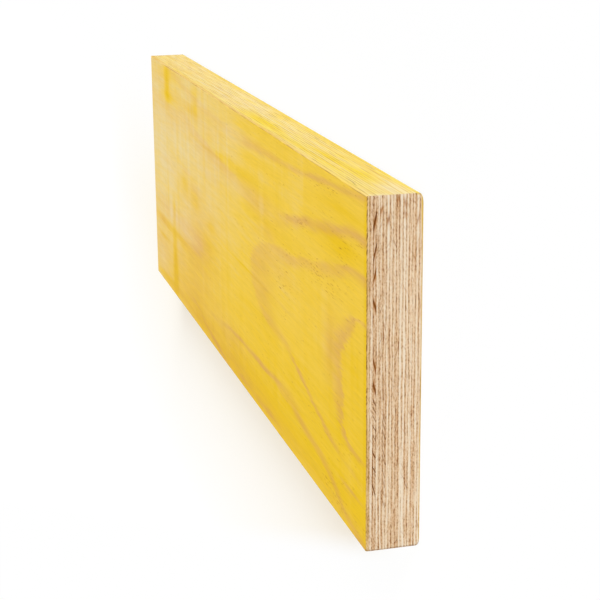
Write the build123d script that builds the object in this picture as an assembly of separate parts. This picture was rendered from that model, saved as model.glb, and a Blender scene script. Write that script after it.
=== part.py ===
from build123d import *
import os

# Laminated veneer lumber: a plank of parallel softwood veneers glued face to face.
# It lies flat: X runs along the grain, Y across the depth and Z up through the veneers.
# The origin is the middle of the underside.

# Driving dimensions in millimetres
plank_length = 914.4       # 36 in offcut
plank_depth = 285.75       # 11 1/4 in, the depth of the beam when it is in use
plank_thickness = 44.45    # 1 3/4 in, all the veneers together
veneer_count = 17

# Easing of the four long arrises. Reach is measured on the wide face, rise on the narrow edge.
face_front_reach = 1.2
face_front_rise = 1.2
face_rear_reach = 0.8
face_rear_rise = 0.8
back_front_reach = 8.5
back_front_rise = 3.2
back_rear_reach = 5.0
back_rear_rise = 2.8

# Worked out from the driving dimensions
veneer_thickness = plank_thickness / veneer_count
front = -plank_depth / 2
rear = plank_depth / 2


def easing(centre_y, centre_z, reach, rise, start_angle):
    """Quarter ellipse that rounds one long arris in the section."""
    return EllipticalCenterArc((centre_y, centre_z), reach, rise, start_angle, arc_size=90)


def eased_section():
    """Outline of the plank across its length: a rectangle with an easing at each long arris."""
    with BuildSketch() as section:
        with BuildLine():
            back_rear = easing(
                rear - back_rear_reach, back_rear_rise, back_rear_reach, back_rear_rise, 270)
            face_rear = easing(
                rear - face_rear_reach, plank_thickness - face_rear_rise, face_rear_reach, face_rear_rise, 0)
            face_front = easing(
                front + face_front_reach, plank_thickness - face_front_rise,
                face_front_reach, face_front_rise, 90)
            back_front = easing(
                front + back_front_reach, back_front_rise, back_front_reach, back_front_rise, 180)
            Line(back_rear @ 1, face_rear @ 0)
            Line(face_rear @ 1, face_front @ 0)
            Line(face_front @ 1, back_front @ 0)
            Line(back_front @ 1, back_rear @ 0)
        make_face()
    return section.sketch


def veneer(section, layer):
    """One veneer, counted from 0 at the underside: its slice of the section, run along the grain."""
    mid_height = (layer + 0.5) * veneer_thickness
    slice_band = Pos(0, mid_height) * Rectangle(plank_depth, veneer_thickness)
    return extrude(Plane.YZ * (section & slice_band), plank_length / 2, both=True)


def veneer_name(layer):
    """Name of a veneer by its place in the stack."""
    if layer == 0:
        return "back_veneer"
    if layer == veneer_count - 1:
        return "face_veneer"
    return f"core_veneer_{layer + 1:02d}"


os.makedirs("parts", exist_ok=True)
plank_section = eased_section()
for layer in range(veneer_count):
    export_step(veneer(plank_section, layer), f"parts/{veneer_name(layer)}.step")
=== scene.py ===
"""The looks of a laminated veneer lumber plank: stained wide faces, ply edges and rough-sawn ends."""

import math

import bmesh
import bpy
import numpy as np
from mathutils import Matrix, Vector


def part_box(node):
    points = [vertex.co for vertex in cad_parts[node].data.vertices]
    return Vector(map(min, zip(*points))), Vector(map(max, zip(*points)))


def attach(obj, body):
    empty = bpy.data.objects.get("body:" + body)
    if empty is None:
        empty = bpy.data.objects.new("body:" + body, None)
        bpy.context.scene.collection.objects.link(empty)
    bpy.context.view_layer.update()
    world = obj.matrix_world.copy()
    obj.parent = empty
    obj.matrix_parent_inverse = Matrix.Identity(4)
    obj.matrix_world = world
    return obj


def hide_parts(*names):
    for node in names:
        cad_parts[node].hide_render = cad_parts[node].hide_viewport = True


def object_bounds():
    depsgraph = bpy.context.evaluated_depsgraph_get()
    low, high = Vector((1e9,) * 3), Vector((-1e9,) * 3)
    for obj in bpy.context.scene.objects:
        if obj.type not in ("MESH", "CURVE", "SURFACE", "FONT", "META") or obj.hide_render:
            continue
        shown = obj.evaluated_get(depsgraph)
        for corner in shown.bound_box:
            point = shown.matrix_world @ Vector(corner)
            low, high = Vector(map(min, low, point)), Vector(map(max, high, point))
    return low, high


MM = 0.001

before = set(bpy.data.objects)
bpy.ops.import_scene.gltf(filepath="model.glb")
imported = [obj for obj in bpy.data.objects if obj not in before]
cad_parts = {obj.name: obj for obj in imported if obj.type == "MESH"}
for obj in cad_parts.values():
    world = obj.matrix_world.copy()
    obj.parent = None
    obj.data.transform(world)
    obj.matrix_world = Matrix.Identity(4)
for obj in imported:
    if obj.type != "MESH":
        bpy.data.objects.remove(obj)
cad_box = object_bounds()

# Sizes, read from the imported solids. The front is the narrow edge that faces the light.
cad_low, cad_high = cad_box
plank_length, plank_depth, plank_thickness = cad_high - cad_low
veneers = sorted(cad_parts, key=lambda node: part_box(node)[0].z)
veneer_count = len(veneers)
veneer_thickness = plank_thickness / veneer_count

# Easing of the four long arrises, as in the solids: reach on the wide face, rise on the narrow edge
face_front_easing = (1.2 * MM, 1.2 * MM)
face_rear_easing = (0.8 * MM, 0.8 * MM)
back_front_easing = (8.5 * MM, 3.2 * MM)
back_rear_easing = (5.0 * MM, 2.8 * MM)

# The rear corner of the near end is worn rounder than the arris that leads to it
worn_corner_easing = (2.4 * MM, 2.4 * MM)


# Materials

# Socket numbers of the colour Mix node
FACTOR, COLOUR_A, COLOUR_B, MIXED = 0, 6, 7, 2

wood_ior = 1.45


def paint(code):
    """A sRGB hex colour as linear red, green, blue and alpha."""
    channels = [int(code[place:place + 2], 16) / 255 for place in (1, 3, 5)]
    linear = [c / 12.92 if c <= 0.04045 else ((c + 0.055) / 1.055) ** 2.4 for c in channels]
    return (*linear, 1.0)


def start_material(name):
    """An empty node material, its tree and its Principled shader."""
    made = bpy.data.materials.new(name)
    made.use_nodes = True
    return made, made.node_tree, made.node_tree.nodes["Principled BSDF"]


def add(tree, kind, inputs=None, out=0, **settings):
    """Adds one node with its settings, and its inputs as numbers or other nodes' outputs."""
    made = tree.nodes.new(kind)
    for name, value in settings.items():
        setattr(made, name, value)
    for socket, value in (inputs or {}).items():
        if isinstance(value, bpy.types.NodeSocket):
            tree.links.new(value, made.inputs[socket])
        else:
            made.inputs[socket].default_value = value
    return made.outputs[out]


def attribute(tree, name):
    """A pattern that the points of a veneer carry."""
    return add(tree, "ShaderNodeAttribute", attribute_name=name, out="Fac")


def noise(tree, place, size, detail, roughness=0.5):
    """Soft noise with features this many millimetres long in X, Y and Z."""
    scale = [1 / (side * MM) for side in size]
    spot = add(tree, "ShaderNodeMapping", {"Vector": place, "Scale": scale})
    return add(tree, "ShaderNodeTexNoise", {
        "Vector": spot, "Scale": 1, "Detail": detail, "Roughness": roughness})


def calculate(tree, operation, *values, **settings):
    """One step of arithmetic on numbers or other nodes' outputs."""
    return add(tree, "ShaderNodeMath", dict(enumerate(values)), operation=operation, **settings)


def remap(tree, value, source=(0, 1), target=(0, 1), smooth=False):
    """Carries a value from one range to another and holds it there."""
    limits = dict(zip(("From Min", "From Max", "To Min", "To Max"), (*source, *target)))
    return add(tree, "ShaderNodeMapRange", {"Value": value, **limits},
               interpolation_type="SMOOTHSTEP" if smooth else "LINEAR")


def blend(tree, share, under, over, blend_type="MIX"):
    """A share of one colour laid over another. Colours are hex codes or other nodes' outputs."""
    under, over = (paint(colour) if isinstance(colour, str) else colour for colour in (under, over))
    return add(tree, "ShaderNodeMix", {FACTOR: share, COLOUR_A: under, COLOUR_B: over},
               data_type="RGBA", blend_type=blend_type, out=MIXED)


def ramp(tree, value, stops):
    """The colour at a value on a run of stops, each a place from 0 to 1 and a hex code."""
    made = tree.nodes.new("ShaderNodeValToRGB")
    tree.links.new(value, made.inputs["Fac"])
    elements = made.color_ramp.elements
    while len(elements) < len(stops):
        elements.new(1.0)
    for element, (position, code) in zip(elements, stops):
        element.position = position
        element.color = paint(code)
    return made.outputs["Color"]


def off_middle(tree):
    """How far a point of a veneer lies from the veneer's middle height, as a share of its thickness."""
    return calculate(tree, "ABSOLUTE", calculate(tree, "SUBTRACT", attribute(tree, "across"), 0.5))


def finish_wood(tree, shader, wood, roughness, relief, specular):
    """Joins a wood's colour, roughness and relief to its shader, with a weak gloss."""
    for socket, value in (("Base Color", wood), ("Roughness", roughness), ("Normal", relief)):
        tree.links.new(value, shader.inputs[socket])
    shader.inputs["IOR"].default_value = wood_ior
    shader.inputs["Specular IOR Level"].default_value = specular


def stained_rotary_pine():
    """Rotary-cut pine under a thin yellow stain: broad arched figure, tan latewood that takes less stain,
    cross-grain roller marks and short brown dashes along the grain. Matt, with faint raised fibre."""
    made, tree, shader = start_material("rotary_cut_pine_yellow_stain")
    place = add(tree, "ShaderNodeTexCoord", out="Object")
    ring_gap = attribute(tree, "ring_gap")

    # Growth lines: ragged, and fading to each side as far as the line's own points say
    stray = calculate(tree, "SUBTRACT", noise(tree, place, (45, 9, 9), detail=5, roughness=0.6), 0.5)
    stray = calculate(tree, "MULTIPLY", stray, 5.0)
    stray = calculate(tree, "DIVIDE", stray, ring_gap)
    comb = remap(tree, noise(tree, place, (60, 2, 2), detail=2), target=(-14.0, 14.0))
    stray = calculate(tree, "MULTIPLY_ADD", comb, attribute(tree, "ring_slope"), stray)
    turn = calculate(tree, "ADD", attribute(tree, "ring"), stray)
    turn = calculate(tree, "FRACT", turn)
    behind = calculate(tree, "MULTIPLY", turn, ring_gap)
    ahead = calculate(tree, "SUBTRACT", ring_gap, behind)
    inner = remap(tree, behind, (0, attribute(tree, "inward")), (1, 0), smooth=True)
    outer = remap(tree, ahead, (0, attribute(tree, "outward")), (1, 0), smooth=True)
    latewood = calculate(tree, "MAXIMUM", inner, outer)
    latewood = calculate(tree, "MULTIPLY", latewood, attribute(tree, "figure"))
    # Tan places, two of them painted shade towards the rear edge
    latewood = calculate(tree, "MAXIMUM", latewood, attribute(tree, "tan"))
    strength = remap(tree, noise(tree, place, (60, 8, 8), detail=4), (0.3, 0.6), (0.55, 1.0))
    latewood = calculate(tree, "MULTIPLY", latewood, strength)

    # Stain: roller marks across the grain, streaks along it, and less of it on latewood
    roller = calculate(tree, "SUBTRACT", noise(tree, place, (16, 150, 150), detail=3), 0.5)
    rolled = remap(tree, noise(tree, place, (150, 70, 70), detail=1), (0.4, 0.62), (0.0, 0.55))
    taken = calculate(tree, "MULTIPLY_ADD", roller, rolled, attribute(tree, "stain"))
    streak = noise(tree, place, (80, 6, 6), detail=4)
    taken = calculate(tree, "MULTIPLY_ADD", streak, 0.45, taken)
    taken = calculate(tree, "ADD", taken, -0.225)
    earlywood = ramp(tree, taken, [(0.0, "#EDD598"), (0.3, "#F0CF73"), (0.6, "#F2CB49"), (1.0, "#EDC31C")])
    tan_wood = ramp(tree, taken, [(0.0, "#EACB96"), (0.3, "#E8C07A"), (0.6, "#E2B360"), (1.0, "#DAA64A")])
    wood = blend(tree, latewood, earlywood, tan_wood)

    # Fine fibre and the short dashes of open cells
    fibre = noise(tree, place, (30, 1.3, 1.3), detail=3)
    wood = blend(tree, 1.0, wood, remap(tree, fibre, (0.25, 0.75), (0.93, 1.04)), "MULTIPLY")
    dash = noise(tree, place, (8, 0.7, 0.7), detail=0)
    crowd = noise(tree, place, (90, 22, 22), detail=1)
    dash = calculate(tree, "MULTIPLY_ADD", crowd, 0.25, dash)
    dash = calculate(tree, "ADD", dash, attribute(tree, "flecks"))
    wood = blend(tree, remap(tree, dash, (0.93, 1.03), (0.0, 0.6)), wood, "#AA641C")
    # Darkened down in torn notches by their depth: partly darker torn wood, partly painted shade
    wood = blend(tree, attribute(tree, "gap"), wood, "#7A5F12")

    roughness = remap(tree, fibre, target=(0.72, 0.9))
    relief = add(tree, "ShaderNodeBump", {"Height": fibre, "Strength": 0.2, "Distance": 0.1 * MM})
    finish_wood(tree, shader, wood, roughness, relief, specular=0.1)
    return made


def stained_ply_edge():
    """Planed pine ply edges under a thin wash of the same stain: pale straw and lemon lines along the grain,
    each ply a little lighter or darker than the next, with hair-thin brown glue lines and checks."""
    made, tree, shader = start_material("planed_ply_edge_yellow_wash")
    place = add(tree, "ShaderNodeTexCoord", out="Object")
    from_middle = off_middle(tree)

    # Stain, thicker in some lines and clouds and beside the glue
    line = noise(tree, place, (110, 2, 1.2), detail=4, roughness=0.65)
    cloud = noise(tree, place, (45, 30, 5), detail=3)
    # Less stain by the face arris in the far half is a painted highlight
    taken = calculate(tree, "MULTIPLY_ADD", cloud, 0.7, attribute(tree, "stain"))
    taken = calculate(tree, "MULTIPLY_ADD", line, 1.3, taken)
    taken = calculate(tree, "MULTIPLY_ADD", from_middle, 0.5, taken)
    taken = calculate(tree, "ADD", taken, -1.12)
    wood = ramp(tree, taken, [(0.0, "#FDEFBE"), (0.35, "#FCE790"), (0.65, "#FDE66C"), (1.0, "#FCE144")])

    # Tan summer growth and hair-thin brown lines
    tan = noise(tree, place, (160, 3, 0.9), detail=3, roughness=0.6)
    tan = calculate(tree, "MULTIPLY_ADD", attribute(tree, "tone"), 0.12, tan)
    tan = remap(tree, tan, (0.5, 0.85), (0.0, 0.75))
    tan = calculate(tree, "ADD", tan, attribute(tree, "tan"), use_clamp=True)
    wood = blend(tree, tan, wood, "#E8C473")
    hair = noise(tree, place, (26, 2, 0.8), detail=1)
    glue = calculate(tree, "MULTIPLY_ADD", hair, 0.5, from_middle)
    wood = blend(tree, remap(tree, glue, (0.67, 0.79), (0.0, 0.7)), wood, "#B48746")
    grain = remap(tree, noise(tree, place, (90, 2, 0.7), detail=2), (0.32, 0.68))
    wood = blend(tree, grain, wood, "#FBEFD6", "MULTIPLY")
    # Darkened down in checks by their depth: partly the wood inside, partly painted shade
    wood = blend(tree, attribute(tree, "gap"), wood, "#7A5518")

    roughness = remap(tree, line, target=(0.65, 0.85))
    relief = add(tree, "ShaderNodeBump", {"Height": line, "Strength": 0.3, "Distance": 0.1 * MM})
    finish_wood(tree, shader, wood, roughness, relief, specular=0.15)
    return made


def sawn_ply_ends():
    """Bare pine veneers sawn across: cream and tan lines along each ply, dotted brown glue lines, specks and
    lathe checks darkened by depth, partly painted shade, resin round the wide splits, and a little stain
    bled in from the faces, partly a painted highlight along the rounded underside arris."""
    made, tree, shader = start_material("sawn_pine_ply_end_grain")
    place = add(tree, "ShaderNodeTexCoord", out="Object")

    # Growth lines long and short, and the dirt in sawn pores
    pore_size = (2, 2.0, 0.7)
    long_line = noise(tree, place, (40, 110, 1.0), detail=3, roughness=0.6)
    short_line = noise(tree, place, (20, 22, 0.9), detail=3, roughness=0.6)
    pore = noise(tree, place, pore_size, detail=3, roughness=0.7)

    # Each ply has a pale heart that wanders between its glue lines
    sway = noise(tree, place, (30, 45, 2.6), detail=2)
    off_heart = calculate(tree, "ABSOLUTE", calculate(tree, "SUBTRACT", attribute(tree, "across"), sway))
    heart = remap(tree, off_heart, (0.08, 0.34), (-0.3, 0.0), smooth=True)
    shade = calculate(tree, "MULTIPLY_ADD", attribute(tree, "tone"), 0.36, heart)
    for pattern, share in ((long_line, 1.5), (short_line, 1.1), (pore, 1.1)):
        shade = calculate(tree, "MULTIPLY_ADD", pattern, share, shade)
    shade = calculate(tree, "ADD", shade, -1.51)
    wood = ramp(tree, shade, [
        (0.0, "#F9EAD2"), (0.3, "#F0D4B0"), (0.6, "#D8AD80"), (0.85, "#B98658"), (1.0, "#98653B")])

    # Glue lines, dotted where the saw smeared them, and specks along the darker lines
    glue = calculate(tree, "MULTIPLY_ADD", pore, 0.35, off_middle(tree))
    glue = calculate(tree, "MULTIPLY_ADD", short_line, 0.3, glue)
    wood = blend(tree, remap(tree, glue, (0.74, 0.86), (0.0, 0.8)), wood, "#94663C")
    speck = remap(tree, noise(tree, place, pore_size, detail=0), (0.58, 0.68), (0.0, 0.65))
    darker = remap(tree, shade, (0.45, 0.8))
    wood = blend(tree, calculate(tree, "MULTIPLY", speck, darker), wood, "#80502A")
    # The gap pattern darkens checks, splits and chips by their depth: partly the wood inside, partly painted
    # shade
    # The stain pattern here is bled-in stain, and along the rounded underside arris partly a painted
    # highlight
    for pattern, colour in (("resin", "#B6732C"), ("stain", "#E8C45A"), ("gap", "#7A4416")):
        wood = blend(tree, attribute(tree, pattern), wood, colour)

    roughness = remap(tree, pore, target=(0.75, 0.92))
    relief = add(tree, "ShaderNodeBump", {"Height": short_line, "Strength": 0.5, "Distance": 0.2 * MM})
    finish_wood(tree, shader, wood, roughness, relief, specular=0.15)
    return made


def cured_glue():
    """Cured phenolic glue between the veneers: dark brown, seen only down an open split."""
    made, _, shader = start_material("cured_phenolic_glue")
    shader.inputs["Base Color"].default_value = paint("#5B3A22")
    shader.inputs["Roughness"].default_value = 0.6
    return made


wide_face_wood = stained_rotary_pine()
edge_wood = stained_ply_edge()
end_wood = sawn_ply_ends()
glue_line = cured_glue()


# Figure of the wide face

# Latewood lines, numbered by growth ring from the long edges to the heart of the arch. Each point is its
# place in millimetres from the near end and from the front edge, how far the tan fades towards the heart and
# away from it, and how strong it is
latewood_lines = [
    (0, [(0, 3, 4, 5, 0.8), (50, 7, 4, 5, 0.8), (100, 10, 5, 5, 0.8), (150, 13, 5, 5, 0.8),
         (175, 16, 5, 4, 0.65), (200, 18, 5, 5, 0.75), (250, 20, 5, 5, 0.55), (300, 22, 6, 8, 0.55),
         (350, 24, 6, 11, 0.65), (385, 25, 6, 12, 0.75), (420, 24, 12, 8, 0.4), (475, 24, 14, 6, 0.5),
         (565, 21, 14, 6, 0.45), (635, 17, 12, 6, 0.45), (695, 12, 10, 6, 0.45), (730, 8, 8, 6, 0.4),
         (780, 2, 8, 8, 0.35)]),
    (1, [(0, 36, 10, 8, 0.9), (25, 35, 8, 8, 0.9), (50, 37, 10, 8, 0.8), (62, 40, 10, 8, 0.9),
         (75, 44, 8, 8, 1), (100, 47, 8, 10, 1), (125, 50, 8, 8, 0.9), (150, 54, 10, 8, 0.8),
         (175, 56, 8, 6, 1), (190, 61, 8, 8, 1), (225, 65, 8, 6, 0.8), (250, 69, 16, 6, 0.4),
         (275, 69, 20, 10, 0.3), (300, 72, 20, 16, 0.35), (325, 76, 18, 24, 0.45), (350, 78, 14, 28, 0.55),
         (375, 77, 12, 32, 0.65), (400, 75, 16, 24, 0.55), (425, 70, 24, 8, 0.4), (455, 67, 30, 4, 0.5),
         (490, 66, 35, 4, 0.6), (515, 64, 40, 4, 0.6), (545, 62, 45, 4, 0.6), (565, 58, 50, 4, 0.6),
         (605, 56, 55, 4, 0.6), (655, 50, 60, 5, 0.55), (690, 44, 60, 6, 0.5), (740, 46, 60, 8, 0.45),
         (780, 50, 55, 8, 0.45), (830, 47, 55, 8, 0.4), (914, 40, 50, 10, 0.35)]),
    (2, [(0, 65, 12, 5, 0.9), (25, 65, 12, 5, 0.7), (50, 66, 12, 4, 0.8), (62, 69, 12, 4, 1),
         (75, 73, 16, 4, 0.7), (100, 78, 16, 6, 0.55), (125, 83, 14, 4, 0.6), (150, 87, 14, 3, 0.5),
         (175, 91, 14, 3, 0.6), (200, 96, 16, 4, 0.8), (225, 100, 18, 4, 0.7), (250, 102, 30, 5, 0.6),
         (300, 107, 60, 5, 0.55), (340, 119, 65, 8, 0.6), (364, 134, 65, 9, 0.6), (363, 152, 60, 9, 0.6),
         (345, 172, 50, 7, 0.6), (315, 182, 32, 6, 0.6), (280, 186, 14, 6, 0.55), (250, 186, 10, 6, 0.55),
         (230, 190, 8, 6, 0.45), (212, 197, 6, 4, 0.7), (200, 199, 6, 4, 1), (175, 206, 6, 4, 1),
         (150, 213, 6, 4, 1), (125, 219, 6, 4, 0.9), (100, 226, 6, 4, 0.8), (85, 228, 6, 4, 0.55),
         (60, 230, 6, 6, 0.15), (0, 234, 6, 6, 0.15)]),
    (3, [(0, 102, 3, 3, 0.9), (15, 101, 2, 2, 0.7), (30, 102, 2, 2, 0.7), (36, 106, 6, 8, 0.85),
         (39, 113, 7, 18, 0.85), (50, 122, 7, 20, 0.85), (62, 129, 7, 24, 0.85), (70, 140, 8, 32, 0.85),
         (71, 150, 8, 38, 0.85), (68, 165, 8, 38, 0.8), (66, 178, 8, 35, 0.8), (65, 190, 7, 26, 0.85),
         (63, 200, 6, 14, 0.85), (55, 207, 4, 10, 0.85), (45, 212, 4, 7, 0.85), (25, 214, 4, 6, 0.7),
         (0, 214, 4, 4, 0.25)]),
    (1, [(0, 286, 10, 6, 1), (25, 282, 10, 6, 1), (45, 278, 10, 8, 0.9), (60, 275, 8, 6, 0.9),
         (77, 268, 8, 6, 0.8), (100, 259, 8, 8, 0.7), (125, 253, 8, 8, 0.9), (150, 249, 6, 8, 0.7),
         (175, 247, 8, 6, 0.8), (190, 245, 10, 8, 0.7), (205, 241, 12, 12, 0.7), (225, 236, 12, 10, 0.55),
         (250, 237, 12, 10, 0.55), (280, 234, 6, 6, 1), (300, 235, 5, 5, 1), (325, 237, 6, 5, 1),
         (350, 236, 5, 5, 1), (400, 237, 5, 5, 1), (425, 237, 5, 5, 1), (455, 239, 6, 6, 1),
         (480, 241, 8, 6, 1), (500, 243, 8, 8, 0.8), (550, 248, 12, 12, 0.55), (600, 249, 12, 10, 0.45),
         (625, 246, 12, 10, 0.35), (680, 240, 12, 10, 0.25), (780, 228, 12, 10, 0.15),
         (914, 222, 12, 10, 0.15)]),
    (0, [(503, 284, 8, 8, 0.9), (550, 277, 8, 8, 1), (575, 275, 8, 8, 1), (600, 271, 8, 8, 0.9),
         (640, 263, 8, 8, 0.8), (660, 261, 8, 8, 0.8), (700, 258, 12, 12, 0.45), (725, 254, 16, 16, 0.45),
         (755, 249, 16, 16, 0.35), (820, 256, 16, 16, 0.15), (914, 256, 16, 16, 0.15)]),
    (3.4, [(0, 155, 3, 3, 0.5), (25, 155, 3, 3, 0.5)]),
    (2.4, [(180, 145, 8, 8, 0.5)]),
    (1.45, [(500, 150, 10, 10, 0.1), (620, 158, 10, 10, 0.1), (914, 165, 10, 10, 0.1)]),
]
# Soft tan places and short lines that belong to no ring, and some painted shade, as millimetres from the
# near end and from the front edge, half length, half width and amount
tan_and_shade_patches = [
    # In the near half
    (16, 4, 26, 5, 0.55), (94, 146, 23, 27, 0.7), (325, 150, 40, 28, 0.35), (318, 155, 14, 2, 0.4),
    (250, 154, 35, 1.2, 0.35), (270, 122, 60, 12, 0.3), (40, 250, 28, 2.0, 0.7), (45, 255, 20, 3, 0.3),
    (420, 278, 24, 3, 0.8), (365, 278, 40, 3, 0.4), (310, 277, 30, 3, 0.7), (345, 83, 45, 2, 0.4),
    (450, 262, 150, 25, 0.2), (450, 275, 480, 12, 0.3), (50, 277, 50, 6, 0.25),
    # In the far half
    (700, 184, 90, 12, 0.5), (640, 190, 34, 12, 0.35), (850, 182, 70, 13, 0.5), (560, 88, 70, 10, 0.3),
    (870, 20, 60, 10, 0.35), (755, 53, 45, 6, 0.5), (860, 203, 35, 6, 0.5), (697, 111, 26, 3, 0.5),
    (620, 140, 120, 32, 0.22), (480, 245, 60, 12, 0.3), (800, 120, 60, 10, 0.3), (640, 123, 30, 5, 0.4),
    # The first two here are painted shade: the face darker towards the rear edge in the far half, where less
    # light falls
    (700, 245, 170, 50, 0.5), (880, 245, 60, 40, 0.4), (640, 180, 110, 40, 0.4),
]
# Where the short brown dashes crowd, or thin out below 0, in the same way
fleck_patches = [
    (130, 93, 55, 10, 0.17), (225, 108, 40, 16, 0.12), (240, 135, 40, 22, 0.1), (190, 62, 16, 4, 0.24),
    (310, 84, 30, 4, 0.16), (370, 77, 18, 4, 0.16), (70, 65, 40, 8, 0.1), (25, 105, 30, 6, 0.12),
    (50, 250, 40, 10, 0.1), (75, 230, 8, 14, 0.12), (115, 268, 15, 3, 0.16), (60, 50, 50, 15, 0.07),
    (100, 15, 60, 8, 0.08), (70, 274, 50, 9, 0.13), (760, 143, 260, 300, -0.1),
]
figure_drawn_out = 0.45      # the figure is longer along the grain than across it
figure_slack = 40.0          # how far the field may leave the lines, so that it stays smooth
ring_gap_limits = (8, 90)    # least and most millimetres from one latewood line to the next
trait_softness = 12          # square millimetres over which the traits of a line's points run together

# Where the stain lies thick or thin: place from the near end and front edge, half length, half width, amount
stain_patches = [
    # Thicker, in the near half
    (400, 60, 85, 7, 0.3), (350, 37, 90, 7, 0.2), (300, 88, 110, 6, 0.2), (400, 154, 75, 1.0, 0.45),
    (40, 150, 38, 34, 0.17), (370, 265, 240, 20, 0.22), (70, 54, 60, 9, 0.35), (70, 25, 80, 8, 0.2),
    (40, 262, 60, 14, 0.2), (70, 202, 25, 18, 0.1), (80, 75, 40, 10, 0.1), (325, 150, 40, 20, 0.06),
    (70, 62, 60, 22, 0.08),
    # Thicker, in the far half
    (808, 22, 15, 24, 0.6), (797, 36, 40, 7, 0.35), (560, 63, 90, 3, 0.12), (655, 34, 45, 8, 0.15),
    (790, 9, 75, 8, 0.33), (640, 22, 16, 20, 0.3), (783, 250, 14, 40, 0.8), (783, 175, 9, 18, 0.4),
    (850, 204, 70, 6, 0.4), (745, 204, 55, 7, 0.25), (860, 225, 30, 3, 0.3), (840, 278, 75, 6, 0.4),
    (712, 127, 20, 17, 0.28), (645, 138, 26, 12, 0.22), (565, 147, 20, 9, 0.22), (575, 176, 26, 11, 0.22),
    (515, 60, 30, 5, 0.2), (690, 255, 120, 42, 0.28), (640, 210, 120, 30, 0.25), (690, 262, 90, 25, 0.14),
    (600, 276, 230, 13, 0.33), (460, 160, 80, 16, 0.07), (850, 245, 80, 50, 0.12), (600, 176, 80, 26, 0.16),
    (665, 134, 80, 18, 0.13), (730, 36, 60, 14, 0.12),
    # Thinner
    (850, 110, 60, 40, -0.16), (475, 60, 4, 60, -0.18), (517, 60, 6, 30, -0.1), (182, 25, 6, 30, -0.15),
    (700, 188, 120, 9, -0.15), (870, 255, 25, 14, -0.15), (760, 212, 12, 7, -0.15), (290, 36, 90, 18, -0.2),
    (300, 78, 70, 12, -0.14), (275, 118, 50, 14, -0.14), (455, 34, 60, 18, -0.24), (450, 77, 60, 12, -0.22),
    (680, 82, 110, 14, -0.12), (240, 168, 45, 42, -0.13), (260, 275, 180, 12, -0.06),
]

# The same on the narrow edge: place from the near end and from the face, half length, half width, amount
edge_stain_and_highlight_patches = [
    # Thicker
    (370, 8, 60, 7, 0.7), (340, 13, 70, 5, 0.4), (379, 37, 16, 5, 0.3), (160, 28, 18, 2.5, 0.35),
    (80, 24, 50, 5, 0.5), (150, 18, 80, 4, 0.5), (200, 8, 150, 5, 0.35), (700, 4, 230, 5, 0.15),
    (582, 40, 30, 4, 0.2), (450, 43.5, 600, 1.6, 0.8), (150, 40, 160, 6, 0.24), (450, 40, 600, 4, 0.2),
    # Thinner. The long line by the face arris in the far half is a paler painted highlight
    (20, 26, 30, 10, -0.5), (650, 0.6, 250, 0.9, -0.12), (300, 16, 170, 14, -0.17),
]
# Short dark checks on the narrow edge: place from the near end and from the face, half length
edge_checks = [(57, 6.1, 12), (46, 4.6, 8), (104, 37.6, 9), (384, 28, 8), (250, 33, 9)]


def pull(one, other):
    """The thin-plate kernel between two sets of points."""
    squared = ((one[:, None] - other[None]) ** 2).sum(axis=-1)
    return 0.5 * squared * np.log(squared + 1e-9)


def fit_figure():
    """A smooth field that takes each latewood line's number along that line: its knots and weights."""
    knots = np.array([point[:2] for _, line in latewood_lines for point in line], float)
    rings = np.array([ring for ring, line in latewood_lines for _ in line], float)
    knots[:, 0] *= figure_drawn_out
    count = len(knots)
    flat = np.c_[np.ones(count), knots]
    system = np.zeros((count + 3, count + 3))
    system[:count, :count] = pull(knots, knots) + figure_slack * np.eye(count)
    system[:count, count:] = flat
    system[count:, :count] = flat.T
    return knots, np.linalg.solve(system, np.r_[rings, 0, 0, 0])


figure_knots, figure_weights = fit_figure()


def figure_blocks(along, over):
    """Places in millimetres as places in the figure's field, a few thousand at a time."""
    block_size = 4000
    places = np.c_[along * figure_drawn_out, over]
    return np.array_split(places, max(1, len(places) // block_size))


def ring_at(along, over):
    """The growth ring at places given in millimetres from the near end and from the front edge."""
    count = len(figure_knots)
    return np.concatenate([
        pull(block, figure_knots) @ figure_weights[:count]
        + np.c_[np.ones(len(block)), block] @ figure_weights[count:]
        for block in figure_blocks(along, over)])


def ring_spacing_at(along, over):
    """Millimetres from one latewood line to the next, and rings crossed per millimetre along the grain."""
    step = 1.0
    slope_along = (ring_at(along + step, over) - ring_at(along - step, over)) / (2 * step)
    slope_over = (ring_at(along, over + step) - ring_at(along, over - step)) / (2 * step)
    spacing = 1 / np.maximum(np.hypot(slope_along, slope_over), 1e-6)
    return np.clip(spacing, *ring_gap_limits), slope_along


def line_traits_at(along, over):
    """How far the nearest latewood lines fade towards the heart and away from it, and their strength."""
    traits = np.array([point[2:] for _, line in latewood_lines for point in line])
    found = []
    for block in figure_blocks(along, over):
        squared = ((block[:, None] - figure_knots[None]) ** 2).sum(axis=-1)
        share = (squared + trait_softness) ** -2.0
        found.append(share @ traits / share.sum(axis=1, keepdims=True))
    return np.concatenate(found).T


def ease(value, start, end):
    """0 before start, 1 after end and a smooth rise between them."""
    part = np.clip((value - start) / (end - start), 0, 1)
    return part * part * (3 - 2 * part)


def patches_at(patches, along, over):
    """The sum of soft oval patches at places on a face."""
    amount = np.zeros_like(along)
    for middle, down, half_length, half_width, extra in patches:
        amount += extra * np.exp(-((along - middle) / half_length) ** 2 - ((over - down) / half_width) ** 2)
    return amount


def stain_at(along, over):
    """How much stain the wide face has taken, from 0 to about 1: more at the near end and to the rear."""
    amount = 0.2 + 0.46 * ease(along, 720, 250)
    amount += 0.2 * ease(over, 130, 220) * ease(along, 780, 520) + 0.35 * ease(along, 5, 0)
    return amount + patches_at(stain_patches, along, over)


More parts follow.
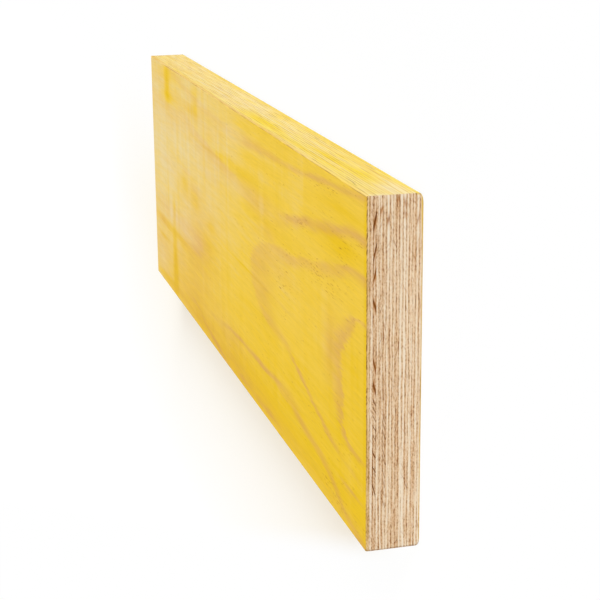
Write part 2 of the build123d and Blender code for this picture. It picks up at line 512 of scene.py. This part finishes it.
def edge_stain_and_highlight_at(along, from_face):
    """How much stain the narrow edge has taken: more in its near half, less in a painted highlight by the
    face arris.
    """
    amount = 0.2 + 0.16 * ease(along, 520, 300) + 0.03 * ease(along, 460, 620)
    return amount + patches_at(edge_stain_and_highlight_patches, along, from_face)


def edge_tan_at(along, from_face):
    """How tan the narrow edge is: more so in its far half and beside the face, most of all on the arris."""
    amount = 0.1 * ease(along, 430, 640) + 0.15 * ease(from_face, 5, 1) * ease(along, 300, 500)
    return amount + 0.42 * ease(from_face, 1.8, 0.6) * ease(along, 60, 220)


# Veneers

# How pale (0) or tan (1) each veneer's end is, and how checked, from the face down
veneer_tones = [1.1, 0.45, 0.55, 0.3, 0.45, 0.6, 0.1, 0.6, 0.35, 0.7, 0.0, 0.1, 0.5, 0.1, 0.6, 0.15, 0.35]
veneer_checks = [0.1, 0.2, 0.8, 0.2, 0.4, 0.5, 0.1, 0.2, 0.2, 0.3, 0.1, 0.2, 0.3, 0.1, 0.3, 0.2, 0.1]

# Wide splits on the near end, by veneer from the face down: place from the front edge, half width and depth
# in millimetres, and how brown the wood beside them is
split_veneer = 2
near_end_splits = {
    split_veneer: [
        (20, 3.6, 1.3, 1.0), (44, 2.8, 1.2, 1.0), (62, 3.0, 0.8, 0.9), (84, 2.8, 1.1, 1.0),
        (132, 2.8, 0.9, 1.0), (150, 3.2, 1.0, 1.0), (162, 0.5, 1.0, 0.5), (168, 0.5, 1.0, 0.4),
        (175, 0.5, 1.0, 0.4), (183, 0.6, 1.2, 0.5), (191, 0.5, 1.0, 0.4), (205, 1.0, 1.4, 0.8),
        (217, 0.7, 1.2, 0.6), (234, 1.0, 1.6, 0.8)],
    4: [(11, 2.0, 0.2, 0.8), (88, 0.4, 1.5, 0.3), (112, 0.4, 1.5, 0.2), (126, 0.4, 1.5, 0.2)],
    5: [(176, 0.5, 0.6, 0.6), (183, 0.4, 0.5, 0.5), (189, 0.6, 2.5, 0.5), (197, 0.5, 0.6, 0.6),
        (204, 0.4, 0.5, 0.5), (210, 0.5, 2.0, 0.4), (221, 0.4, 2.0, 0.3), (229, 0.5, 0.6, 0.6),
        (237, 0.4, 0.5, 0.5), (246, 0.5, 0.6, 0.6)],
    6: [(19, 2.5, 0.3, 0.7)],
    9: [(4, 1.2, 0.3, 0.5), (280, 0.5, 2.5, 0.3), (122, 0.4, 1.0, 0.5)],
    11: [(7, 2.4, 0.15, 0.6), (15, 2.0, 0.1, 0.5)],
    15: [(20, 2.0, 0.2, 0.5)],
}
# Lean of the checks in the split veneer: millimetres along the ply for each millimetre up, by place
split_veneer_lean = [
    (0, 5), (52, 5), (62, 3), (84, -3), (142, -4), (160, -2), (217, -2), (234, -4), (286, -4)]

# Fine shapes of the veneers
first_row_depth = 0.7 * MM       # of an outer veneer's first row, which keeps torn fibre to the sawn arris
saw_fuzz = 0.06 * MM             # how far single points of a sawn end stand back
chipped_reach = 0.9 * MM         # how far in from its rear arris the near end is chipped
chip_depth = 0.4 * MM
tear_depth = 0.4 * MM            # of fibre torn along the arris between the near end and the face
tear_drop = (160, 200)           # steps over between which there gets less of it
glue_groove = 0.07 * MM          # how far the glue lines stand below the wood
glue_line_stray = 0.07 * MM      # how far one wave takes a glue line from its true height
glue_line_waves = (31, 67, 143)  # lengths in millimetres
edge_check_depth = 0.5 * MM
edge_check_half_height = 0.45    # in millimetres, as the lists of checks are
lathe_check_count = 60           # on each end of a ply, where its amount of checks is 1
lathe_check_widths = (0.08, 0.2)  # least and most half width in millimetres
lathe_check_depths = (0.1, 0.45)
lathe_check_brown = 0.3          # how resin-brown a lathe check is
check_half_height = 0.62         # as a share of a ply's thickness
resin_spread = 1.5               # how far resin shows beside a check, in half widths of the check
check_margin = 4                 # millimetres at each end of a ply with no lathe check
check_free_reach = 14            # millimetres from each end of a ply within which a check can't lean in full
plain_ring_gap = 30.0            # stands in for the ring spacing where there are no rings
rear_edge_share = 0.6            # of the front edge's stain on the rear edge
# Stain bled into the ends. By the underside arris, at the front and up the underside veneer, it is partly a
# painted highlight, where that rounded arris would catch the light
end_stain_and_highlight = 0.85                 # the most stain that bleeds into an end
front_bleed_and_highlight = (1.8, 0.4)         # millimetres from the front edge where the bled stain starts and is full
low_bleed_and_highlight = (7, 4)               # millimetres above the underside where it does

same_place = 1e-5                # in metres, or as a share of a veneer's thickness
most_steps = 101                 # of one subdivision, which makes 100 cuts at most
veneer_seed = 100                # of the random draws, plus the veneer's or the glue line's number
glue_line_seed = 500

# Steps along, steps over and rows up of a veneer's net
CORE_NET = (101, 404, 6)
OUTER_NET = (202, 303, 8)

# Sides of a veneer, and its finishes in the order of its material slots
NEAR_END, FAR_END, FRONT_EDGE, REAR_EDGE, UNDERSIDE, TOPSIDE = range(6)
GLUE, EDGE, END, WIDE = range(4)

# What each point of a veneer carries for the materials
point_patterns = (
    "across", "tone", "gap", "resin", "stain", "ring", "ring_gap", "ring_slope", "inward", "outward",
    "figure", "tan", "flecks")


def choose_edges(blank, wanted):
    """Selects, in edit mode, the edges whose middle and run the test accepts."""
    bpy.ops.mesh.select_all(action="DESELECT")
    net = bmesh.from_edit_mesh(blank.data)
    for edge in net.edges:
        one, other = (corner.co for corner in edge.verts)
        edge.select_set(bool(wanted((one + other) / 2, other - one)))
    bmesh.update_edit_mesh(blank.data)


def divide(blank, wanted, steps):
    """Divides the chosen edges into this many steps, in two goes where one can't make them all."""
    for part in ((steps,) if steps <= most_steps else (most_steps, steps // most_steps)):
        choose_edges(blank, wanted)
        bpy.ops.mesh.subdivide(number_cuts=part - 1)


def saw_blank(name, low, high, net, gridded):
    """A veneer blank with a net of edges on its walls, and on its wide face at the gridded height."""
    along_steps, over_steps, rows = net
    bpy.ops.object.select_all(action="DESELECT")
    bpy.ops.mesh.primitive_cube_add(size=1, location=(low + high) / 2)
    blank = bpy.context.object
    blank.name = name
    blank.data.name = name
    blank.scale = high - low
    bpy.ops.object.transform_apply(location=True, rotation=True, scale=True)
    bpy.ops.object.mode_set(mode="EDIT")
    bpy.ops.mesh.select_mode(type="EDGE")
    divide(blank, lambda middle, run: abs(run.x) > same_place, along_steps)
    divide(blank, lambda middle, run: abs(run.y) > same_place and (
        min(abs(middle.x - low.x), abs(middle.x - high.x)) < same_place
        or (gridded is not None and abs(middle.z - gridded) < same_place)), over_steps)
    divide(blank, lambda middle, run: abs(run.z) > same_place, rows)
    bpy.ops.object.mode_set(mode="OBJECT")
    return blank


def side_of_faces(mesh):
    """Which side of the blank each face lies on."""
    normals = np.empty(len(mesh.polygons) * 3, np.float32)
    mesh.polygons.foreach_get("normal", normals)
    normals = normals.reshape(-1, 3)
    axis = np.abs(normals).argmax(axis=1)
    positive = normals[np.arange(len(normals)), axis] > 0
    return np.array([NEAR_END, FRONT_EDGE, UNDERSIDE])[axis] + positive


def bake_layout(is_face, is_back):
    """The strips of a veneer's bake map: each side's foot, its height and how many runs it is cut into."""
    if not is_face and not is_back:
        return {
            NEAR_END: (0.01, 0.13, 1), FAR_END: (0.15, 0.12, 1), FRONT_EDGE: (0.28, 0.30, 4),
            REAR_EDGE: (0.59, 0.30, 4), UNDERSIDE: (0.90, 0.04, 1), TOPSIDE: (0.95, 0.04, 1),
        }
    shown, hidden = (TOPSIDE, UNDERSIDE) if is_face else (UNDERSIDE, TOPSIDE)
    return {
        NEAR_END: (0.005, 0.05, 1), FAR_END: (0.06, 0.04, 1), FRONT_EDGE: (0.105, 0.09, 4),
        REAR_EDGE: (0.2, 0.09, 4), hidden: (0.295, 0.015, 1), shown: (0.315, 0.68, 1),
    }


def lay_bake_map(mesh, sides, points, layout):
    """Unfolds the blank into the strips of its layout."""
    corner_points = np.empty(len(mesh.loops), np.int32)
    mesh.loops.foreach_get("vertex_index", corner_points)
    totals = np.empty(len(mesh.polygons), np.int32)
    mesh.polygons.foreach_get("loop_total", totals)
    face_of_corner = np.repeat(np.arange(len(totals)), totals)
    part = (points - points.min(axis=0)) / (points.max(axis=0) - points.min(axis=0))
    along, over, up = part[corner_points].T
    face_middle = np.bincount(face_of_corner, along) / totals
    margin = 0.004
    run_gap = 0.05
    spots = np.zeros((len(corner_points), 2))
    for side, (foot, height, runs) in layout.items():
        here = sides[face_of_corner] == side
        if side in (FRONT_EDGE, REAR_EDGE):
            run = np.minimum((face_middle[face_of_corner[here]] * runs).astype(int), runs - 1)
            width = along[here] * runs - run
            rise = (run + run_gap + (1 - 2 * run_gap) * up[here]) / runs
        else:
            width = over[here]
            rise = up[here] if side in (NEAR_END, FAR_END) else along[here]
        spots[here, 0] = margin + (1 - 2 * margin) * width
        spots[here, 1] = foot + height * rise
    layer = mesh.uv_layers.new(name="OFBake")
    layer.data.foreach_set("uv", spots.astype(np.float32).ravel())


def lay_finishes(mesh, points, is_face, is_back):
    """Lays the bake map and gives each side its finish: sawn ends, stained outsides, glue on the rest."""
    sides = side_of_faces(mesh)
    lay_bake_map(mesh, sides, points, bake_layout(is_face, is_back))
    for finish in (glue_line, edge_wood, end_wood, wide_face_wood):
        mesh.materials.append(finish)
    finish_of_side = np.array(
        [END, END, EDGE, EDGE, WIDE if is_back else GLUE, WIDE if is_face else GLUE], np.int32)
    mesh.polygons.foreach_set("material_index", finish_of_side[sides])


def inset(height, easing):
    """How far an eased arris stands back from the narrow edge, at a height over its wide face."""
    reach, rise = easing
    drop = np.clip(1 - height / rise, 0, 1)
    return reach * (1 - np.sqrt(1 - drop ** 2))


def glue_line_sway(line, along, over):
    """How far a glue line strays from its true height, because veneers press unevenly."""
    if line in (0, veneer_count):
        return np.zeros_like(along)
    draw = np.random.default_rng(glue_line_seed + line)
    sway = np.zeros_like(along)
    for wave in glue_line_waves:
        phase = draw.uniform(0, 2 * math.pi, 2)
        sway += np.sin(2 * math.pi * over / (wave * MM) + phase[0] + np.sin(along / (wave * MM) + phase[1]))
    return glue_line_stray * sway


def lathe_checks(draw, amount):
    """Small checks left by the lathe knife: place, half width, depth in millimetres, and brownness."""
    count = int(lathe_check_count * amount)
    places = draw.uniform(check_margin, plank_depth / MM - check_margin, count)
    widths = draw.uniform(*lathe_check_widths, count)
    depths = draw.uniform(*lathe_check_depths, count)
    return [(*check, lathe_check_brown) for check in zip(places, widths, depths)]


def open_checks(points, column, across, chosen, inward, checks, lean_knots):
    """Returns how open and how resin-brown each of its points is; the materials darken open points, partly
    as painted shade.
    """
    steps = column.max()
    depth_mm = plank_depth / MM
    spread = depth_mm / steps
    places = np.linspace(0, depth_mm, steps + 1)
    for place, half_width, _, _ in checks:
        middle = int(round(place / spread))
        if half_width < spread and 2 <= middle <= steps - 2:
            places[middle - 1:middle + 2] = place - half_width, place, place + half_width
    places.sort()
    spot = places[column[chosen]]
    up = across[chosen] - 0.5
    swell = np.sqrt(np.clip(1 - (up / check_half_height) ** 2, 0, 1))
    depth = np.zeros(len(spot))
    brown = np.zeros(len(spot))
    for place, half_width, deepest, brownness in checks:
        flank = np.clip(1 - np.abs(spot - place) / half_width, 0, 1)
        depth = np.maximum(depth, deepest * swell * flank)
        brown = np.maximum(brown, brownness * np.exp(-((spot - place) / (resin_spread * half_width)) ** 2))
    free = np.clip(spot / check_free_reach, 0, 1) * np.clip((depth_mm - spot) / check_free_reach, 0, 1)
    slant = np.interp(spot, *zip(*lean_knots)) * up * veneer_thickness / MM * free
    points[chosen, 1] = cad_low.y + (spot + slant) * MM
    points[chosen, 0] += inward * depth * MM
    return np.clip(depth, 0, 0.85), brown


def saw_ends(points, values, column, near_end, far_end, from_face, draw):
    """Opens the checks and splits of both ends, roughens them, and chips the near end's rear arris."""
    lean = draw.choice([-1, 1]) * draw.uniform(1.2, 3.2)
    lean_knots = split_veneer_lean if from_face == split_veneer else [(0, lean), (plank_depth / MM, lean)]
    gap, resin = values["gap"], values["resin"]
    for chosen, inward, splits in ((near_end, 1, near_end_splits.get(from_face, [])), (far_end, -1, [])):
        checks = lathe_checks(draw, veneer_checks[from_face]) + splits
        gap[chosen], resin[chosen] = open_checks(
            points, column, values["across"], chosen, inward, checks, lean_knots)
        points[chosen, 0] += inward * draw.uniform(0, saw_fuzz, chosen.sum())
    chipped = near_end & (points[:, 1] > cad_high.y - chipped_reach)
    chip = draw.uniform(0.2, 1.0, chipped.sum())
    points[chipped, 0] += chip_depth * chip
    # Chips darkened by their depth, partly painted shade
    gap[chipped] = np.maximum(gap[chipped], 0.7 * chip)


def open_edge_checks(points, gap, front_edge, along, below_face):
    """Opens the short checks of the front edge, at places in millimetres along it and below the face."""
    for place, depth_from_face, half_length in edge_checks:
        rise = (below_face - depth_from_face) / edge_check_half_height
        opened = np.clip(1 - np.hypot((along - place) / half_length, rise), 0, 1) * front_edge
        points[:, 1] += edge_check_depth * opened
        # Open checks darkened, partly painted shade
        gap[:] = np.maximum(gap, opened)


def tear_arris(points, gap, arris, column, draw):
    """Tears fibre out along the arris between the near end and the face, and less of it towards the rear."""
    columns = np.arange(column.max() + 1)
    torn = ease(draw.uniform(0, 1, len(columns)), 0.45, 0.8)
    torn *= 1 - 0.65 * ease(columns, *tear_drop)
    points[arris, 0] += torn[column[arris]] * tear_depth
    # Torn places darkened by their depth, partly painted shade
    gap[arris] = np.maximum(gap[arris], 0.8 * torn[column[arris]])


def draw_figure(values, wide, along, over):
    """Gives the points of a wide face their rings, stain, tan with some painted shade, and flecks, by their
    places in millimetres.
    """
    values["ring"][wide] = ring_at(along, over)
    values["ring_gap"][wide], values["ring_slope"][wide] = ring_spacing_at(along, over)
    values["inward"][wide], values["outward"][wide], values["figure"][wide] = line_traits_at(along, over)
    values["stain"][wide] = stain_at(along, over)
    values["tan"][wide] = np.clip(patches_at(tan_and_shade_patches, along, over), 0, 1)
    values["flecks"][wide] = patches_at(fleck_patches, along, over)


def keep_values(mesh, values):
    """Stores one number per point for each named pattern that a material reads."""
    for name, numbers in values.items():
        layer = mesh.attributes.new(name, "FLOAT", "POINT")
        layer.data.foreach_set("value", np.asarray(numbers, np.float32))


def make_veneer(number):
    """One veneer, counted from the underside, with its eased arrises, checked ends and grain."""
    node = veneers[number]
    low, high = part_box(node)
    low.x, low.y, high.x, high.y = cad_low.x, cad_low.y, cad_high.x, cad_high.y
    from_face = veneer_count - 1 - number
    is_face, is_back = from_face == 0, number == 0
    outer = is_face or is_back
    gridded = high.z if is_face else low.z if is_back else None
    net = OUTER_NET if outer else CORE_NET
    blank = saw_blank(node + "_sheet", low, high, net, gridded)
    mesh = blank.data

    points = np.empty(len(mesh.vertices) * 3, np.float32)
    mesh.vertices.foreach_get("co", points)
    points = points.reshape(-1, 3).astype(float)
    if outer:
        first_row = np.abs(points[:, 0] - low.x - plank_length / net[0]) < same_place
        points[first_row, 0] = low.x + first_row_depth
    lay_finishes(mesh, points, is_face, is_back)

    near_end, far_end = (np.abs(points[:, 0] - end) < same_place for end in (low.x, high.x))
    front_edge, rear_edge = (np.abs(points[:, 1] - edge) < same_place for edge in (low.y, high.y))
    ends = near_end | far_end
    column = np.rint((points[:, 1] - low.y) / plank_depth * net[1]).astype(int)

    # The rows of an outer veneer crowd towards its wide face, where the arrises are eased
    across = np.clip((points[:, 2] - low.z) / (high.z - low.z), 0, 1)
    if is_face:
        across = 1 - (1 - across) ** 2
    if is_back:
        across = across ** 2
    values = {name: np.zeros(len(points)) for name in point_patterns}
    values["across"] = across
    values["tone"][:] = veneer_tones[from_face]
    values["ring_gap"][:] = plain_ring_gap
    gap, stain, tan = values["gap"], values["stain"], values["tan"]

    draw = np.random.default_rng(veneer_seed + from_face)
    saw_ends(points, values, column, near_end, far_end, from_face, draw)

    # Height of each point between two uneven glue lines
    along, over = points[:, 0] - low.x, points[:, 1] - low.y
    foot = number * veneer_thickness + glue_line_sway(number, along, over)
    head = (number + 1) * veneer_thickness + glue_line_sway(number + 1, along, over)
    height = foot + (head - foot) * across
    points[:, 2] = cad_low.z + height

    # Glue lines stand a hair below the wood, and the eased arrises draw the section in
    rim = ((across < same_place) & (not is_back)) | ((across > 1 - same_place) & (not is_face))
    points[:, 0] += glue_groove * (rim & near_end) - glue_groove * (rim & far_end)
    points[:, 1] += glue_groove * (rim & front_edge) - glue_groove * (rim & rear_edge)
    below_face = plank_thickness - height
    front_inset = np.maximum(inset(below_face, face_front_easing), inset(height, back_front_easing))
    face_rear_inset = np.where(
        near_end, inset(below_face, worn_corner_easing), inset(below_face, face_rear_easing))
    rear_inset = np.maximum(face_rear_inset, inset(height, back_rear_easing))
    part = (points[:, 1] - low.y) / plank_depth
    points[:, 1] += front_inset * (1 - part) - rear_inset * part

    # Stain and tan on the narrow edges, and a little stain bled into the ends at the front by the underside,
    # partly a painted highlight on the rounded arris there
    along_mm, over_mm = (points[:, 0] - low.x) / MM, (points[:, 1] - low.y) / MM
    below_mm = below_face / MM
    for chosen, along_edge, share in (
            (front_edge, along_mm, 1), (rear_edge, plank_length / MM - along_mm, rear_edge_share)):
        stain[chosen] = share * edge_stain_and_highlight_at(along_edge[chosen], below_mm[chosen])
        tan[chosen] = edge_tan_at(along_edge[chosen], below_mm[chosen])
    from_front = over_mm[ends] - front_inset[ends] / MM
    stain[ends] = end_stain_and_highlight * ease(from_front, *front_bleed_and_highlight) * ease(height[ends] / MM, *low_bleed_and_highlight)
    open_edge_checks(points, gap, front_edge, along_mm, below_mm)

    if is_face:
        tear_arris(points, gap, near_end & (across > 0.7), column, draw)
    if outer:
        # Bled stain: from the face it is stain; up the underside veneer, more towards the front, it is
        # partly a painted highlight along the rounded underside arris
        soak_and_highlight = 0.4 + 0.35 * ease(over_mm, 40, 15)
        bleed_and_highlight = 0.3 + 0.5 * ease(across, 0.6, 0.98) if is_face else ease(across, soak_and_highlight, soak_and_highlight - 0.35)
        stain[ends] = np.maximum(stain[ends], end_stain_and_highlight * bleed_and_highlight[ends])
        # The hidden wide face has the same figure, turned end for end
        wide = across > 1 - same_place if is_face else across < same_place
        along_figure = along_mm if is_face else plank_length / MM - along_mm
        draw_figure(values, wide, along_figure[wide], over_mm[wide])

    mesh.vertices.foreach_set("co", points.astype(np.float32).ravel())
    keep_values(mesh, values)
    mesh.update()
    bpy.ops.object.shade_smooth_by_angle(angle=math.radians(35))

    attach(blank, "root")
    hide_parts(node)


for number in range(veneer_count):
    make_veneer(number)


# Stage

lit_floor = 0.97           # how bright white paper is under the lamps, away from the plank
surroundings = 0.3         # strength of the white world on the plank. It shows as 1, which is white

# The way towards each lamp, its strength, and how wide it looks in degrees
lamps = {
    "key_lamp": ((-0.28, -0.355, 0.135), 1.905, 18),
    "overhead_lamp": ((0, 0, 1), 1.46, 30),
    "fill_lamp": ((0.3, 0.45, 0.06), 1.25, 20),
}

# Where shade on the floor starts to show and shows in full: across the plank, and along it from the near end
shade_over = (-100 * MM, 140 * MM)
shade_along = (-420 * MM, -260 * MM)
# Where it ends again beside the rear edge, on a line that slants by this much to the plank
shade_end = (315 * MM, 350 * MM)
shade_slant = -0.4
# Where its painted warm tint, for yellow light thrown back from the plank, fades across the plank and along
# it
painted_warmth_over = (140 * MM, 500 * MM)
painted_warmth_along = (600 * MM, 1200 * MM)

# Camera: metres, with the lens and the sensor in millimetres
camera_place = (-1.528826, -0.380593, 0.386012)
camera_forward = (0.929104, 0.271364, -0.25125)
camera_upward = (0.259679, -0.962441, -0.079213)
camera_lens = 93.162
camera_sensor = 36


def seen_rays(tree):
    """1 for rays that show the background: from the camera, in gloss or through glass."""
    seen = add(tree, "ShaderNodeLightPath", out="Is Camera Ray")
    for way in ("Is Glossy Ray", "Is Transmission Ray"):
        seen = calculate(tree, "MAXIMUM", seen, add(tree, "ShaderNodeLightPath", out=way))
    return seen


def studio_floor():
    """A white paper floor. Rays that show the background see it as white, less the plank's shade, which
    shows in full behind the plank, hardly in front of it, with a painted warm cast beside the rear edge."""
    bpy.ops.object.select_all(action="DESELECT")
    bpy.ops.mesh.primitive_plane_add(size=60, location=(0, 0, 0))
    floor = bpy.context.object
    floor.name = "studio_floor"
    made, tree, shader = start_material("white_paper")
    shader.inputs["Roughness"].default_value = 0.9
    shader.inputs["Specular IOR Level"].default_value = 0.0
    seen = seen_rays(tree)
    place = add(tree, "ShaderNodeTexCoord", out="Object")
    along, over = (add(tree, "ShaderNodeSeparateXYZ", {"Vector": place}, out=axis) for axis in "XY")

    outward = calculate(tree, "MULTIPLY_ADD", along, shade_slant, over)
    shaded = remap(tree, over, shade_over, smooth=True)
    shaded = calculate(tree, "MULTIPLY", shaded, remap(tree, along, shade_along, smooth=True))
    shaded = calculate(tree, "MULTIPLY", shaded, remap(tree, outward, shade_end, (1, 0), smooth=True))
    seen_paper = blend(tree, shaded, "#4A4A4A", "#EDFBFF")
    paper = blend(tree, seen, "#E1E1E0", seen_paper)

    # The glow makes up what the lit paper lacks to white, and the shade takes from the lit paper alone
    # Painted warm cast beside the rear edge, in and around the shade, for yellow light thrown back from the
    # plank
    painted_warm_cast = calculate(tree, "MULTIPLY", shaded, remap(tree, over, painted_warmth_over, (1, 0)))
    painted_warm_cast = calculate(tree, "MULTIPLY", painted_warm_cast, remap(tree, along, painted_warmth_along, (1, 0)))
    shown = blend(tree, painted_warm_cast, "#FFFFFF", "#FDF7EA")
    glow = add(tree, "ShaderNodeVectorMath", {0: seen_paper, 1: (-lit_floor,) * 3, 2: shown},
               operation="MULTIPLY_ADD")
    for socket, value in (("Base Color", paper), ("Emission Color", glow), ("Emission Strength", seen)):
        tree.links.new(value, shader.inputs[socket])
    floor.data.materials.append(made)


def studio_light():
    """White surroundings, a low soft lamp by the front edge, a wide one overhead and a weaker one behind."""
    world = bpy.data.worlds.new("studio")
    world.use_nodes = True
    bpy.context.scene.world = world
    tree = world.node_tree
    background = tree.nodes["Background"]
    background.inputs["Color"].default_value = (1, 1, 1, 1)
    level = remap(tree, seen_rays(tree), target=(surroundings, 1.0))
    tree.links.new(level, background.inputs["Strength"])

    for name, (direction, strength, spread) in lamps.items():
        bpy.ops.object.light_add(type="SUN", location=direction)
        lamp = bpy.context.object
        lamp.name = name
        lamp.data.angle = math.radians(spread)
        lamp.data.energy = strength
        lamp.rotation_euler = Vector(direction).to_track_quat("Z", "Y").to_euler()


def camera():
    """A long lens at the near end, turned so that the front edge is uppermost in the picture."""
    bpy.ops.object.camera_add(location=camera_place)
    seen_from = bpy.context.object
    forward = Vector(camera_forward).normalized()
    rightward = forward.cross(Vector(camera_upward)).normalized()
    upward = rightward.cross(forward)
    seen_from.rotation_euler = Matrix((rightward, upward, -forward)).transposed().to_euler()
    seen_from.data.lens = camera_lens
    seen_from.data.sensor_width = camera_sensor
    seen_from.data.clip_end = 200
    bpy.context.scene.camera = seen_from


studio_floor()
studio_light()
camera()
bpy.context.scene.view_settings.view_transform = "Standard"
